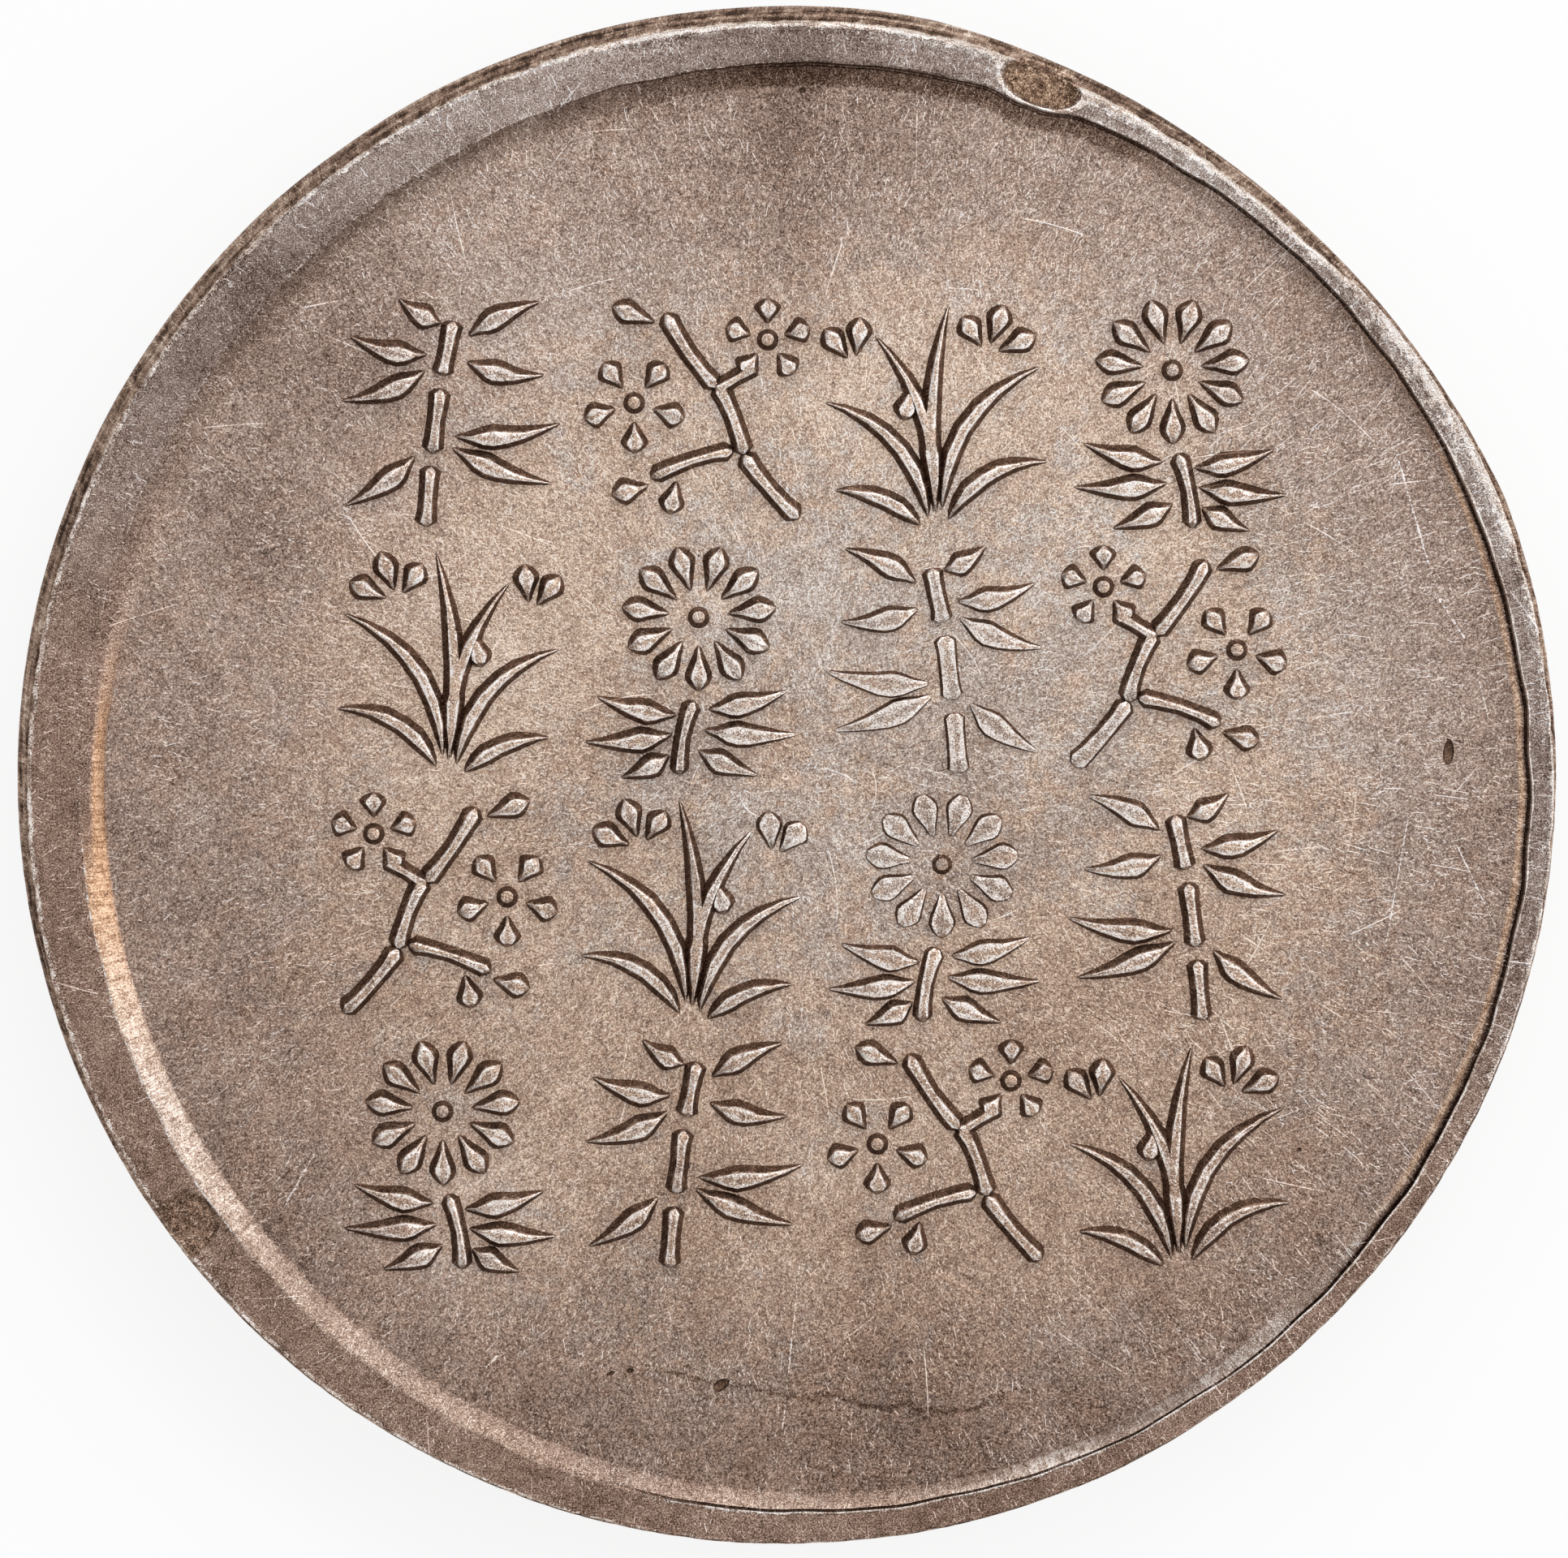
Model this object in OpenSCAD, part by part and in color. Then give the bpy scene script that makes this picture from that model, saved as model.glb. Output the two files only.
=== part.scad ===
// Struck silver cake: a round disc of fine silver with a raised rim on each face,
// a field struck a little off centre, and a block of raised sprig ornaments.
// It is one piece of metal. The disc lies on its reverse rim, with its obverse up.

/* [Disc] */
// Diameter of the disc
disc_d = 40.4; // [39.6:0.1:42]
// Thickness measured over the two rims
disc_t = 3.34; // [2.8:0.02:4]
// Chamfer along the edge of the reverse
reverse_chamfer = 0.25; // [0.1:0.05:0.4]

/* [Obverse rim] */
// Diameter of the outer edge of the rim's flat top
obverse_flat_d = 40.0; // [39.6:0.1:40.2]
// Shift of that flat top to the right
obverse_flat_x = 0.12; // [0:0.02:0.2]
// Shift of that flat top away from the viewer
obverse_flat_y = -0.31; // [-0.4:0.01:0]
// Diameter of the rim's inner edge
obverse_rim_d = 38.0; // [37.8:0.1:38.2]
// Shift of the rim's inner edge to the right
obverse_rim_x = 0.49; // [0.42:0.01:0.6]
// Shift of the rim's inner edge away from the viewer
obverse_rim_y = -0.35; // [-0.5:0.01:0]

/* [Obverse field] */
// Depth of the field below the rim
obverse_depth = 0.36; // [0.3:0.02:0.5]
// Diameter of the flat field, at the foot of the rim
obverse_field_d = 37.25; // [36.6:0.05:37.4]
// Shift of the die, and so of the field and its ornaments, to the right
die_x = 0.72; // [0.4:0.02:0.8]
// Shift of the die away from the viewer
die_y = -0.25; // [-0.5:0.01:-0.1]

/* [Reverse] */
// Diameter of the rim's inner edge
reverse_rim_d = 38.0; // [37.6:0.1:38.6]
// Diameter of the flat field, at the foot of the rim
reverse_field_d = 37.3; // [36.6:0.1:37.5]
// Depth of the field below the rim
reverse_depth = 0.36; // [0.3:0.02:0.5]

/* [Relief] */
// Height of the ornaments above the field
relief_h = 0.28; // [0.15:0.01:0.29]
// Run of a stroke's sloping wall, from its foot to its top
wall_run = 0.12; // [0.06:0.01:0.14]
// Width of one ornament
sprig_w = 6.1; // [5.4:0.1:6.2]
// Height of one ornament
sprig_h = 6.2; // [5.6:0.1:6.4]
// Distance between columns of ornaments
column_pitch = 6.38; // [6.2:0.02:6.6]
// Distance between rows of ornaments
row_pitch = 6.48; // [6.4:0.02:6.6]
// Half-width of a leaf at its widest
leaf_w = 0.36; // [0.3:0.01:0.4]
// Half-width of a stem
stem_w = 0.3; // [0.26:0.01:0.34]
// Half-width of a twig or a blade
twig_w = 0.25; // [0.22:0.01:0.28]
// Half-width of a petal at its widest
petal_w = 0.36; // [0.3:0.01:0.4]
// Radius of the round heart of a blossom, at its foot
heart_r = 0.3; // [0.24:0.01:0.34]

/* [Trimmed side] */
// Depth to which one side of the edge is filed back
trim_depth = 0.36; // [0.1:0.02:0.5]
// Angle of that side round the disc
trim_angle = 50; // [40:1:60]
// Radius of that side, which is flatter than the disc
trim_r = 23.2; // [22.6:0.1:24]
// Bevel along the obverse of that side
trim_bevel = 0.41; // [0.2:0.01:0.5]

/* [Rim flaws] */
// Length along the rim of the void that the metal left in it
void_l = 2.4; // [1.8:0.1:3]
// Width of that void across the rim
void_w = 1.24; // [0.9:0.02:1.4]
// Depth of that void
void_depth = 0.2; // [0.1:0.02:0.26]
// Distance from the rim's inner edge to the middle of that void
void_in = 0.44; // [0.3:0.02:0.6]
// Angle of that void round the rim
void_angle = 71.5; // [60:0.5:80]
// Length along the rim of the rough fold pressed flat in it
fold_l = 2.2; // [1.6:0.1:2.8]
// Width of that fold across the rim
fold_w = 1; // [0.7:0.02:1.1]
// Depth of that fold
fold_depth = 0.14; // [0.08:0.02:0.24]
// Distance from the rim's inner edge to the middle of that fold
fold_in = 0.7; // [0.5:0.02:0.8]
// Angle of that fold round the rim
fold_angle = 215.5; // [205:0.5:225]

/* [Hidden] */
silver = [0.61, 0.54, 0.49];
ring_sides = 120;
stroke_root = 0.08;
drawn_w = 5.4;
drawn_h = 5.8;
cut_clear = 1;

// Spine of a stroke: a line from a to b that bows to its left by bow
function across(v) = [-v.y, v.x] / norm(v);
function spine(a, b, bow, t) = a + t * (b - a) + 4 * bow * t * (1 - t) * across(b - a);
function heading(a, b, bow, t) = (b - a) + 4 * bow * (1 - 2 * t) * across(b - a);
function side(a, b, bow, t, w) = spine(a, b, bow, t) + w * across(heading(a, b, bow, t));

// Outline of a stroke, anticlockwise: a tip, the right side, the other tip and the left side.
// widths holds pairs of a place along the spine and the half-width there.
function outline(a, b, bow, widths) = concat(
    [a],
    [for (w = widths) side(a, b, bow, w[0], -w[1])],
    [b],
    [for (i = [len(widths) - 1 : -1 : 0]) side(a, b, bow, widths[i][0], widths[i][1])]
);

// Every edge of an outline moved inwards by d
function inset(ring, d) = [
    for (i = [0 : len(ring) - 1])
        let (
            before = across(ring[i] - ring[(i + len(ring) - 1) % len(ring)]),
            after = across(ring[(i + 1) % len(ring)] - ring[i])
        )
        ring[i] + d * (before + after) / (1 + before * after)
];

// A point of a drawn ornament, brought to the ornament's own size
function drawn(p) = [p.x * sprig_w / drawn_w, p.y * sprig_h / drawn_h];

function at_height(ring, z) = [for (p = ring) [p.x, p.y, z]];
function circle_points(d, x, y, sides) = [
    for (i = [0 : sides - 1]) [x + d / 2 * cos(360 * i / sides), y + d / 2 * sin(360 * i / sides)]
];

// Walls between a ring of count points and the ring above it
function walls(count) = [for (i = [0 : count - 1]) let (j = (i + 1) % count) [i, count + i, count + j, j]];

// A raised stroke of the relief, cut with sloping walls and a flat top.
// Its ends are points of an ornament drawn 5.4 wide and 5.8 high about its middle.
module stroke(a, b, bow, widths) {
    foot = outline(drawn(a), drawn(b), bow, widths);
    count = len(foot);
    half = count / 2;
    ladder = concat(
        [[0, count - 1, 1]],
        [for (i = [1 : 1 : half - 2]) [count - i, count - i - 1, i + 1, i]],
        [[half + 1, half, half - 1]]
    );
    top_faces = [for (f = ladder) [for (i = f) i + count]];
    foot_faces = [for (f = ladder) [for (k = [len(f) - 1 : -1 : 0]) f[k]]];
    polyhedron(
        points = concat(at_height(foot, -stroke_root), at_height(inset(foot, wall_run), relief_h)),
        faces = concat(walls(count), top_faces, foot_faces)
    );
}

// Strokes of the engraver's knife: a leaf with two points, a straight stem or twig, a long blade and a petal
module leaf(a, b, bow = 0) stroke(a, b, bow, [[0.36, leaf_w]]);
module stem(a, b, bow = 0) stroke(a, b, bow, [[0.1, stem_w], [0.9, stem_w]]);
module twig(a, b, bow = 0) stroke(a, b, bow, [[0.1, twig_w], [0.9, twig_w]]);
module blade(a, b, bow = 0) stroke(a, b, bow, [[0.25, 1.1 * twig_w], [0.65, twig_w]]);
module petal(a, b) stroke(a, b, 0, [[0.66, petal_w]]);

// Ring of petals round a heart, from an inner to an outer radius
module blossom(centre, count, inner, outer, turn) {
    for (i = [0 : count - 1])
        let (way = [cos(turn + 360 * i / count), sin(turn + 360 * i / count)])
            petal(centre + inner * way, centre + outer * way);
    translate(concat(drawn(centre), -stroke_root))
        cylinder(r1 = heart_r, r2 = heart_r - wall_run, h = relief_h + stroke_root, $fn = 32);
}

// Bamboo: a jointed cane with its leaves hanging in groups
module bamboo() {
    stem([-0.55, -2.8], [-0.42, -1.25]);
    stem([-0.4, -1.0], [-0.2, 0.65]);
    stem([-0.17, 0.9], [0.1, 2.3]);
    leaf([0.0, -0.8], [2.5, -1.75], -0.16);
    leaf([0.05, -0.55], [2.7, -0.2], -0.2);
    leaf([-0.75, -1.0], [-2.5, -2.3], 0.14);
    leaf([-0.5, 1.1], [-2.6, 0.3], 0.2);
    leaf([-0.45, 1.45], [-2.4, 1.95], 0.18);
    leaf([0.35, 1.3], [2.3, 0.95], -0.18);
    leaf([0.4, 1.85], [2.2, 2.75], 0.14);
    leaf([-0.15, 2.2], [-1.2, 2.85], 0.1);
}

// Plum: a bent branch with open blossoms and buds
module plum() {
    stem([-2.5, -2.6], [-1.15, -0.95], -0.08);
    stem([-1.2, -1.05], [-0.55, 0.75], 0.1);
    stem([-0.6, 0.6], [0.65, 2.5], -0.1);
    twig([-1.0, -0.9], [1.0, -1.6], 0.12);
    twig([-0.5, 0.55], [-1.5, 1.2]);
    blossom([1.35, 0.25], 5, 0.4, 1.25, 54);
    blossom([-1.75, 1.8], 5, 0.36, 1.05, 18);
    petal([0.95, -1.75], [1.9, -2.0]);
    petal([0.35, -1.6], [0.55, -2.5]);
    petal([0.8, 2.2], [1.9, 2.65]);
}

// Orchid: arching blades from one root, with a flower among them
module orchid() {
    blade([-0.15, -2.7], [-2.7, 0.3], -0.75);
    blade([-0.05, -2.55], [-1.5, 2.0], -0.6);
    blade([0.05, -2.6], [0.35, 2.8], 0.35);
    blade([0.15, -2.5], [2.6, 1.2], 0.85);
    blade([0.25, -2.7], [2.7, -1.2], 0.55);
    blade([-0.3, -2.8], [-2.4, -1.9], -0.3);
    petal([1.1, 1.6], [0.6, 2.4]);
    petal([1.25, 1.65], [1.6, 2.7]);
    petal([1.4, 1.5], [2.35, 1.95]);
    petal([-0.55, 0.75], [-0.75, -0.2]);
    petal([-2.0, 1.3], [-2.6, 2.1]);
    petal([-1.85, 1.35], [-1.75, 2.4]);
}

// Chrysanthemum: a full head of petals on a leafy stem
module chrysanthemum() {
    blossom([0.15, 1.05], 11, 0.6, 1.85, 8);
    twig([0.05, -0.95], [-0.3, -2.85], -0.12);
    leaf([-0.3, -1.35], [-2.3, -0.85], 0.12);
    leaf([-0.4, -1.8], [-2.6, -2.0], 0.1);
    leaf([-0.5, -2.3], [-1.7, -2.9], 0.06);
    leaf([0.3, -1.2], [2.3, -0.7], -0.12);
    leaf([0.2, -1.7], [2.55, -1.8], -0.1);
    leaf([0.1, -2.2], [1.6, -2.85], -0.06);
}

module sprig(kind) {
    if (kind == 0) bamboo();
    if (kind == 1) plum();
    if (kind == 2) orchid();
    if (kind == 3) chrysanthemum();
}

// Four rows of four sprigs. Each row starts one plant further on, and every other sprig faces the other way.
module sprig_block(first)
    for (row = [0 : 3], column = [0 : 3])
        translate([(column - 1.5) * column_pitch, (1.5 - row) * row_pitch])
            mirror([(row + column) % 2, 0])
                sprig((first + 2 * row + column + floor(row / 2)) % 4);

// Recess of the obverse field: its floor is shifted from its mouth, so its wall is steep on one side
module obverse_recess() {
    floor_ring = circle_points(obverse_field_d, die_x, die_y, ring_sides);
    mouth = circle_points(obverse_rim_d, obverse_rim_x, obverse_rim_y, ring_sides);
    rise = cut_clear / obverse_depth;
    over = [for (i = [0 : ring_sides - 1]) mouth[i] + rise * (mouth[i] - floor_ring[i])];
    polyhedron(
        points = concat(
            at_height(floor_ring, disc_t - obverse_depth), at_height(over, disc_t + cut_clear)
        ),
        faces = concat(
            walls(ring_sides),
            [[for (i = [ring_sides - 1 : -1 : 0]) ring_sides + i]],
            [[for (i = [0 : ring_sides - 1]) i]]
        )
    );
}

// Disc turned to its outside shape, with the reverse rim and field
module blank()
    rotate_extrude($fn = 180)
        polygon([
            [0, reverse_depth],
            [reverse_field_d / 2, reverse_depth],
            [reverse_rim_d / 2, 0],
            [disc_d / 2 - reverse_chamfer, 0],
            [disc_d / 2, reverse_chamfer],
            [disc_d / 2, disc_t],
            [0, disc_t]
        ]);

// Cone that leaves the rim its flat top and bevels the disc's edge where the top falls short of it
module obverse_bevel()
    translate([obverse_flat_x, obverse_flat_y, 0])
        cylinder(d1 = obverse_flat_d + 2 * disc_t, d2 = obverse_flat_d, h = disc_t, $fn = 180);

// Larger disc that flattens one side of the edge, with the same chamfer on the reverse and its own bevel
module trimmed_side()
    rotate(trim_angle)
        translate([disc_d / 2 - trim_depth - trim_r, 0, 0])
            rotate_extrude($fn = 180)
                polygon([
                    [0, 0],
                    [trim_r - reverse_chamfer, 0],
                    [trim_r, reverse_chamfer],
                    [trim_r, disc_t - trim_bevel],
                    [trim_r - trim_bevel, disc_t],
                    [0, disc_t]
                ]);

// Flaw in the obverse rim: three shallow dishes in a row that follows the rim's inner edge
module rim_flaw(angle, inset, long, broad, depth) {
    ball = (broad * broad / 4 + depth * depth) / (2 * depth);
    path_r = obverse_rim_d / 2 + inset;
    step = (long - broad) / 2 / path_r * 180 / PI;
    translate([obverse_rim_x, obverse_rim_y, disc_t - depth + ball])
        for (i = [-1 : 1])
            rotate(angle + i * step)
                translate([path_r, 0, 0])
                    sphere(r = ball, $fn = 64);
}

module silver_cake()
    color(silver) {
        difference() {
            intersection() {
                blank();
                obverse_bevel();
                trimmed_side();
            }
            obverse_recess();
            rim_flaw(void_angle, void_in, void_l, void_w, void_depth);
            rim_flaw(fold_angle, fold_in, fold_l, fold_w, fold_depth);
        }
        translate([die_x, die_y, disc_t - obverse_depth]) sprig_block(0);
        translate([0, 0, reverse_depth]) mirror([0, 0, 1]) sprig_block(2);
    }

silver_cake();
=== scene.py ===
import functools
import math

import bmesh
import bpy
from mathutils import Matrix, Vector, noise


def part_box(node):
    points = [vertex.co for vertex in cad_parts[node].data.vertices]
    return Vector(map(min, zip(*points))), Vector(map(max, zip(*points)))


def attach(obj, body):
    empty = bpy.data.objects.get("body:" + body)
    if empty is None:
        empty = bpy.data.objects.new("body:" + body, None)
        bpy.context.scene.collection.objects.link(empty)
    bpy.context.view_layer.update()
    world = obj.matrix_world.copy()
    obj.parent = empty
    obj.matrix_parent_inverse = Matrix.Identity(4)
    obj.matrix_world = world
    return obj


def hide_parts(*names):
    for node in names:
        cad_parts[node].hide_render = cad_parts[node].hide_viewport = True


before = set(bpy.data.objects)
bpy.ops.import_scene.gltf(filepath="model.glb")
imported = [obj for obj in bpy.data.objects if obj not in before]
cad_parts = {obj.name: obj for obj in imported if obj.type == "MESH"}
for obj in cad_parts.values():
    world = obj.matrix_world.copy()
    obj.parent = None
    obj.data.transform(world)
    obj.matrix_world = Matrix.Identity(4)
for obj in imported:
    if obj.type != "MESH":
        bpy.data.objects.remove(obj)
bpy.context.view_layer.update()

# The blank: one disc of near-pure silver, cast, hammered flat and trimmed by hand.
# The dies left a flat rim and a sunk field on each face. The blank sat off centre under
# the obverse die, so its rim and bevel are wide on one side and narrow on the other.
low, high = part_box("silver_cake")
per_metre = 1000  # the mesh is made in millimetres and scaled at the end
disc_r = per_metre * (high.x - low.x) / 2
disc_t = per_metre * (high.z - low.z)
spokes = 1080
reverse_chamfer = 0.25
reverse_rim_r = 19.0
reverse_field_r = 18.65
flat_r, flat_shift = 20.0, (0.12, -0.31)
rim_r, rim_shift = 19.0, (0.49, -0.35)
field_r, die_shift = 18.625, (0.72, -0.25)
field_depth = 0.36
least_foot, most_foot = 0.04, 0.36  # the wall's hollow foot runs on this far over the flat field
wall_hollow, wall_crown = 1.5, 1.35  # powers of the wall's curve where it is hollow and where it is crowned
level_run = 0.45  # share of the wall that the rim takes up where it runs on level
step_depth = 0.7  # share of the wall that stands upright on the side where the die bit deepest
step_way, hollow_way, crack_way, plain_way = (math.radians(turn) for turn in (38, 60, 298, 170))
groove_depth = 0.05
least_bevel = 0.05
trim_way, trim_r = math.radians(50), 23.2  # one side was filed back, on a flatter curve
trim_depth, trim_bevel = 0.36, 0.41
trim_start, trim_full = math.radians(37), math.radians(47)  # the bevel narrows where the file ran out
trim_off = disc_r - trim_depth - trim_r
trim_shift = (trim_off * math.cos(trim_way), trim_off * math.sin(trim_way))


def reach(radius, shift, angle):
    """Distance from the disc's middle to a shifted circle, in one direction."""
    along = shift[0] * math.cos(angle) + shift[1] * math.sin(angle)
    aside = shift[0] * math.sin(angle) - shift[1] * math.cos(angle)
    return along + math.sqrt(radius**2 - aside**2)


def blend(value, start, end):
    """0 at start, 1 at end, and a smooth change between them."""
    share = min(1, max(0, (value - start) / (end - start)))
    return share * share * (3 - 2 * share)


# Places of the rows between one corner of the section and the next, as shares of the way
spans = {
    "reverse_wall": (0.3, 0.6, 0.82, 0.95),
    "reverse_rim": (0.06, 0.35, 0.65, 0.94),
    "reverse_bevel": (0.15, 0.5, 0.85),
    "edge": (0.04, 0.25, 0.5, 0.75, 0.96),
    "bevel": (0.1, 0.3, 0.5, 0.7, 0.9),
    "rim": (0.05, 0.12, 0.25, 0.4, 0.55, 0.7, 0.85, 0.95),
    "wall": (0.04, 0.1, 0.15, 0.24, 0.36, 0.5, 0.66, 0.83, 0.95),
}
groove_end = 0.1


def step_share(angle):
    """How upright the top of the obverse wall stands in one direction, from 0 to 1."""
    return blend(math.cos(angle - step_way), 0.3, 0.8)


def crack_share(angle):
    """How clearly a fine crack runs under the rim in one direction, from 0 to 1: along the lower right."""
    return blend(math.cos(angle - crack_way), 0.68, 0.88)


def plain_share(angle):
    """How far the rim runs on level over the wall in one direction, from 0 to 1: at the left."""
    return blend(math.cos(angle - plain_way), 0.93, 0.985)


def hollow_share(angle):
    """How hollow the wall is in one direction, from 0 to 1. Elsewhere it is crowned."""
    return blend(math.cos(angle - hollow_way), -0.5, -0.1)


@functools.lru_cache(maxsize=None)
def section(angle):
    """The disc's outline in one direction, from the reverse field round the edge to the obverse field.
    Each row is its span, its share of the way along it, its distance from the middle and its height."""
    edge = min(disc_r, reach(trim_r, trim_shift, angle))
    filed = 0.3 + 0.7 * blend(angle, trim_start, trim_full)
    filed_arris = reach(trim_r - trim_bevel * filed, trim_shift, angle)
    arris = min(reach(flat_r, flat_shift, angle), disc_r - least_bevel, filed_arris)
    mouth = reach(rim_r, rim_shift, angle)
    foot = reach(field_r, die_shift, angle) - least_foot - (most_foot - least_foot) * hollow_share(angle)
    corners = [
        (reverse_field_r - least_foot, field_depth),
        (reverse_rim_r, 0),
        (edge - reverse_chamfer, 0),
        (edge, reverse_chamfer),
        (edge, disc_t - (edge - arris)),
        (arris, disc_t),
        (mouth, disc_t),
        (foot, disc_t - field_depth),
    ]
    deep = step_share(angle)
    rows = []
    for (span, shares), start, end in zip(spans.items(), corners, corners[1:]):
        for share in (0, *shares):
            radius = start[0] + share * (end[0] - start[0])
            height = start[1] + share * (end[1] - start[1])
            if span == "wall" and share > 0:
                stepped = 1 - (1 - step_depth) * (1 - share) ** wall_hollow
                hollow = 1 - (1 - share) ** (1.3 * wall_hollow)
                start_at = level_run * plain_share(angle)
                crowned = max(0, (share - start_at) / (1 - start_at)) ** wall_crown
                plain = crowned + hollow_share(angle) * (hollow - crowned)
                height = disc_t - field_depth * (deep * stepped + (1 - deep) * plain)
                height -= groove_depth * max(deep, crack_share(angle)) if share <= groove_end else 0
            if span == "reverse_wall":
                height = field_depth * (1 - share) ** wall_crown
            rows.append((span, share, radius, height))
    rows.append(("field", 0, *corners[-1]))
    return rows


turning_steps = 90
blank = bmesh.new()
row_of = blank.verts.layers.int.new("row")
span_of = []
last = None
for number, (span, share, radius, height) in enumerate(section(0)):
    span_of.append((span, share))
    point = blank.verts.new((radius, 0, height))
    point[row_of] = number
    if last:
        blank.edges.new((last, point))
    last = point
bmesh.ops.spin(
    blank, geom=blank.verts[:] + blank.edges[:], cent=(0, 0, 0), axis=(0, 0, 1),
    angle=2 * math.pi, steps=turning_steps, use_merge=True,
)
round_edges = [edge for edge in blank.edges if edge.verts[0][row_of] == edge.verts[1][row_of]]
bmesh.ops.subdivide_edges(blank, edges=round_edges, cuts=spokes // turning_steps - 1)

# Each spoke takes the section of its own direction, with the wear of a hand-trimmed edge:
# the outer arris is bitten here and there, the edge wavers, and the flat rim is a little uneven.
arris_bite = 0.07
edge_waver = 0.05
mouth_waver = 0.06
rim_dip = 0.02
for point in blank.verts:
    angle = 2 * math.pi / spokes * round(math.atan2(point.co.y, point.co.x) * spokes / 2 / math.pi)
    way = Vector((math.cos(angle), math.sin(angle), 0))
    span, share, radius, height = section(angle)[point[row_of]]
    if span in ("reverse_bevel", "edge", "bevel"):
        radius -= edge_waver * (0.5 + 0.5 * noise.noise(6 * way + Vector((0, 0, height / 3))))
    if span == "bevel" or (span == "rim" and share < 0.1):
        bite = max(0, noise.noise(40 * way) + 0.4 * noise.noise(110 * way))
        radius -= arris_bite * bite
        height -= 0.5 * arris_bite * bite
    if span in ("rim", "wall"):
        dip = 0.5 + 0.5 * noise.noise(Vector((0.8 * radius, 9 * angle, 0)))
        height -= rim_dip * dip * (1 - share if span == "wall" else 1)
        radius += mouth_waver * (1 - share if span == "wall" else share) * noise.noise(16 * way)
    point.co = radius * way + Vector((0, 0, height))

# Marks that the finishes read: where handling keeps the metal bright (with a painted highlight on the inner
# arris), the rim, the wall's painted highlight, its brown and painted shade, painted shade under the rim,
# dark bevel lines and the flaws' rough floors.
wear_and_sheen = blank.verts.layers.float.new("wear_and_sheen")
rim_band = blank.verts.layers.float.new("rim")
wall_highlight = blank.verts.layers.float.new("wall_highlight")
brown_and_shade = blank.verts.layers.float.new("brown_and_shade")
shade_and_bevel_lines = blank.verts.layers.float.new("shade_and_bevel_lines")
flaw = blank.verts.layers.float.new("flaw")
rubbed_way, groove_way, glow_way = math.radians(48), math.radians(34), math.radians(312)
lit_way, top_way = math.radians(201), math.radians(88)
brown_way, shade_way, undercut_way = math.radians(132), math.radians(78), math.radians(-8)
chip_at, chip_half = math.radians(20.9), 0.02
bevel_lines = {0.3: 0.8, 0.5: 0.1, 0.7: 0.6}  # how dark the bevel's lines are, by place across it
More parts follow.
